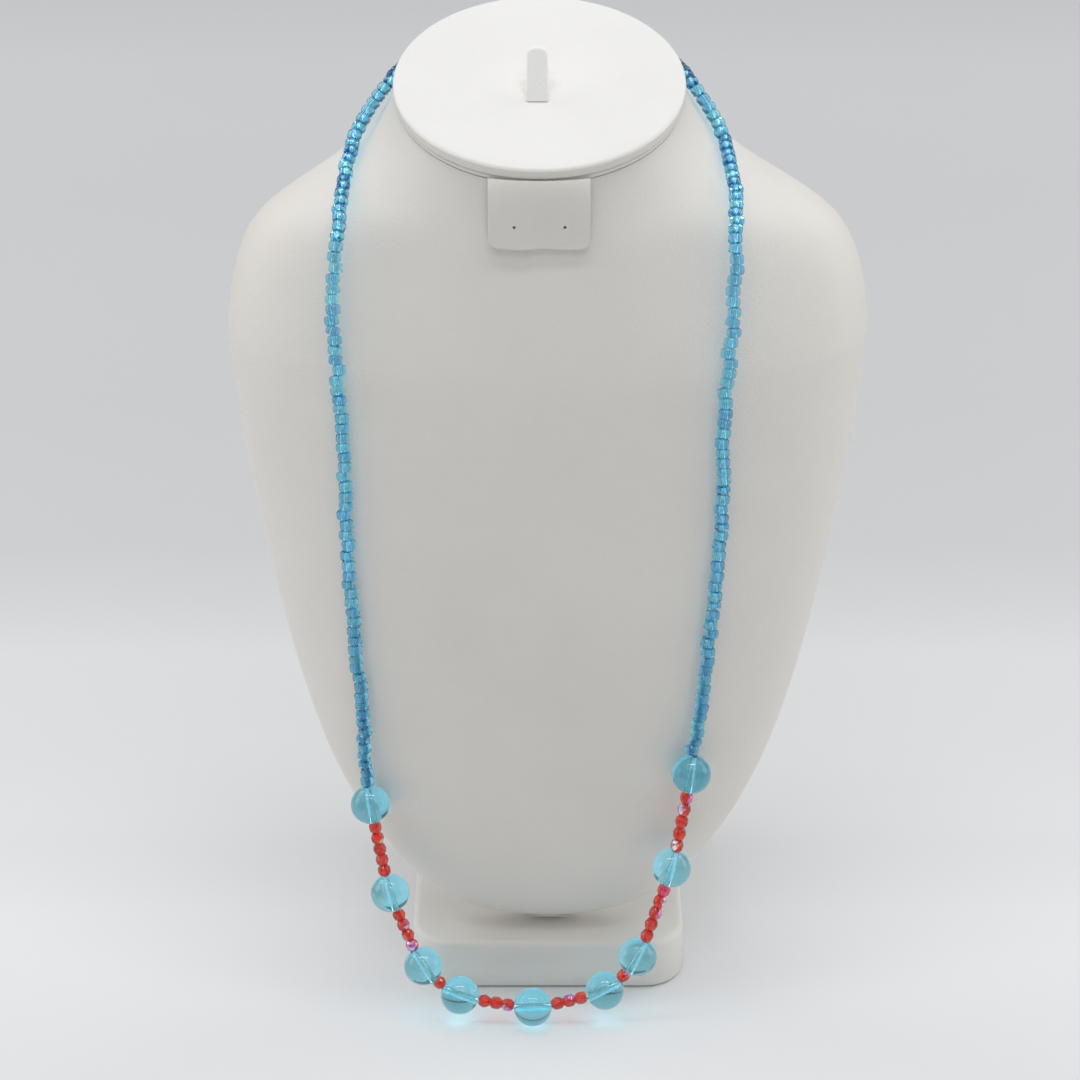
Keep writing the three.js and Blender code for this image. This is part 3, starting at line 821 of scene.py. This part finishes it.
# Painted light and shade: the linings are dark up to the first height and bright from the second on, as the
# light falls from above.
LINING_PAINTED_SHADE, LINING_PAINTED_LIGHT = Vector((0.08, 0.34, 0.5)), Vector((0.75, 0.97, 1.0))
LINING_FROM, LINING_TO = 105, 155


def seed_beads(route):
    """Small round-shouldered glass beads, each with its own size, tone, tilt and place on the thread."""
    points, faces, tints, films = [], [], [], []
    sides, pitch, bore = 20, 2.95, 0.6
    shares = [chance.uniform(0.88, 1.12) for _ in range(round(route.total / pitch))]
    unit = route.total / sum(shares)
    along = 0.0
    for share in shares:
        at, axis = route.place(along + share * unit / 2)
        along += share * unit
        radius = chance.uniform(2.02, 2.2)
        half = share * unit / 2 * 0.99
        _, out = off_bust(at, 0)
        lateral = axis.cross(out).normalized()
        jog = 0.0
        if at.z <= CALM_ABOVE:
            jog = chance.gauss(0, SEED_JOG) + chance.choice((-SEED_PUSH, *[0] * 8, SEED_PUSH))
        centre = at + lateral * jog + out * chance.uniform(0, 0.25)
        centre, _ = off_bust(centre, radius + 0.06)
        lean = Quaternion(out, chance.gauss(0, 0.12)) @ Quaternion(lateral, chance.gauss(0, 0.08))
        place = standing(centre, lean @ axis, chance.uniform(0, 1))
        profile = [(bore, -half * 0.72)]
        for k in range(13):
            turn = math.pi * (k / 12 - 0.5)
            profile.append((bore + (radius - bore) * math.cos(turn) ** (2 / SEED_POWER),
                            half * math.copysign(abs(math.sin(turn)) ** (2 / SEED_POWER), turn)))
        profile += [(bore, half * 0.72)]
        profile.append(profile[0])
        ring_points, ring_faces = turned(profile, sides, place)
        base = len(points)
        points += ring_points
        faces += [tuple(base + k for k in face) for face in ring_faces]
        tone = chance.random()
        colour = SEED_BLUE.lerp(SEED_AQUA, tone) * chance.uniform(0.9, 1.08)
        # Painted light and shade: the lining is lighter the higher the bead lies.
        lit = max(0.0, min(1.0, (at.z - LINING_FROM) / (LINING_TO - LINING_FROM)))
        lining = LINING_PAINTED_SHADE.lerp(LINING_PAINTED_LIGHT, lit) * chance.uniform(0.75, 1.0)
        # The middle band is a little paler, a painted highlight, and the ends darker, painted shade.
        waist = colour.lerp(Vector((1, 1, 1)), 0.1)
        bands = ((SEED_END_SHADE, 3), (colour, 2), (waist, 4), (colour, 2), (SEED_END_SHADE, 3), (lining, 1))
        for shade, rings in bands:
            tints += [[min(1.0, c) for c in shade] + [1.0]] * (rings * sides)
        films += [0.0] * (len(ring_faces) - sides) + [SEED_FILM] * sides
    piece = make("seed_beads", points, faces, SEED, ["seed_bead_string"])
    attribute(piece.data, "tint", tints, "FLOAT_COLOR")
    attribute(piece.data, "film", films, "FLOAT")


def tube(name, path, radius, sides, nodes=()):
    """A round thread along a path, with its section carried along without twist."""
    rings, across = [], None
    for k, at in enumerate(path):
        ahead = (path[min(k + 1, len(path) - 1)] - path[max(k - 1, 0)]).normalized()
        across = across - ahead * across.dot(ahead) if across else ahead.orthogonal()
        across.normalize()
        other = ahead.cross(across)
        turns = [2 * math.pi * i / sides for i in range(sides)]
        rings.append([at + (across * math.cos(turn) + other * math.sin(turn)) * radius for turn in turns])
    return loft(name, rings, NYLON, nodes)


def threads(beads, route):
    """The thread through the front beads, and the one through the seed beads."""
    path = []
    for bead in beads:
        half = bead["axis"] * bead["half"]
        path += [bead["at"] - half, bead["at"], bead["at"] + half]
    tube("front_thread", path, 0.25, 8, ["bead_thread"])
    count = round(route.total / 2)
    places = [route.place(route.total * (k + 0.5) / count)[0] for k in range(count)]
    tube("seed_thread", [beads[0]["at"]] + places + [beads[-1]["at"]], 0.25, 8)


bust_body()
neck_top()
earring_flap()
block()
rib()
front = front_beads()
for bead in front:
    if bead["large"]:
        large_bead(bead)
    else:
        red_bead(bead["number"], bead)
string = seed_route(front)
seed_beads(string)
threads(front, string)

# ---------------------------------------------------------------- floor, light and camera


def floor():
    size, cells = 3.0, 2
    row = cells + 1
    mesh = bpy.data.meshes.new("floor")
    edge = [(-size + 2 * size * i / cells) for i in range(row)]
    corners = [r * row + c for r in range(cells) for c in range(cells)]
    mesh.from_pydata([(x, y, 0) for y in edge for x in edge], [],
                     [(k, k + 1, k + row + 1, k + row) for k in corners])
    mesh.materials.append(pale_floor("pale_floor"))
    obj = bpy.data.objects.new("floor", mesh)
    bpy.context.collection.objects.link(obj)


def softbox(name, place, target, size, power):
    """A rectangular lamp turned towards a target."""
    lamp = bpy.data.lights.new(name, "AREA")
    lamp.shape = "RECTANGLE"
    lamp.size, lamp.size_y = size
    lamp.energy = power
    obj = bpy.data.objects.new(name, lamp)
    bpy.context.collection.objects.link(obj)
    obj.location = place
    obj.rotation_mode = "QUATERNION"
    obj.rotation_quaternion = (Vector(target) - Vector(place)).to_track_quat("-Z", "Y")


# Each lamp's name, place and target in metres, width and height, and watts.
LAMPS = [
    ("tube_over", (0, -0.05, 1.6), (0, 0, 0.1), (1.3, 0.13), 5.4),
    ("tube_front", (0, -0.64, 1.5), (0, 0, 0.1), (1.3, 0.1), 1.8),
    ("front", (0, -1.6, 0.6), (0, 0, 0.12), (1.4, 0.7), 2.2),
    ("side", (-1.3, 0.1, 0.45), (0, 0, 0.15), (0.7, 0.7), 3.4),
    ("rim", (-1, 0.6, 1), (0, 0, 0.2), (0.7, 0.7), 3.2),
    ("side", (1.3, 0.1, 0.45), (0, 0, 0.15), (0.7, 0.7), 3.4),
    ("rim", (1, 0.6, 1), (0, 0, 0.2), (0.7, 0.7), 3.2),
]
floor()
for lamp in LAMPS:
    softbox(*lamp)

# A room that is dark round the horizon and pale overhead.
world = bpy.data.worlds.new("studio")
world.use_nodes = True
sky = world.node_tree.nodes
split = sky.new("ShaderNodeSeparateXYZ")
rise = sky.new("ShaderNodeMapRange")
rise.interpolation_type = "SMOOTHSTEP"
for key, value in {"From Min": 0.3, "From Max": 0.85, "To Min": 0.15, "To Max": 0.68}.items():
    rise.inputs[key].default_value = value
world.node_tree.links.new(sky.new("ShaderNodeTexCoord").outputs["Generated"], split.inputs[0])
world.node_tree.links.new(split.outputs["Z"], rise.inputs["Value"])
world.node_tree.links.new(rise.outputs["Result"], sky["Background"].inputs["Strength"])
sky["Background"].inputs["Color"].default_value = (0.96, 0.97, 1.0, 1.0)
bpy.context.scene.world = world
bpy.context.scene.view_settings.view_transform = "Standard"

IMAGE, FOCAL, SHIFT, SENSOR = 1080, 2630, -8, 36  # pixels, pixels, pixels and millimetres
camera = bpy.data.objects.new("camera", bpy.data.cameras.new("camera"))
bpy.context.collection.objects.link(camera)
camera.location = in_frame((0, -692, 524))
camera.rotation_euler = (math.radians(62), 0, 0)
camera.data.sensor_width = SENSOR
camera.data.lens = SENSOR * FOCAL / IMAGE
camera.data.shift_x = SHIFT / IMAGE
camera.data.clip_start = 0.05
bpy.context.scene.camera = camera
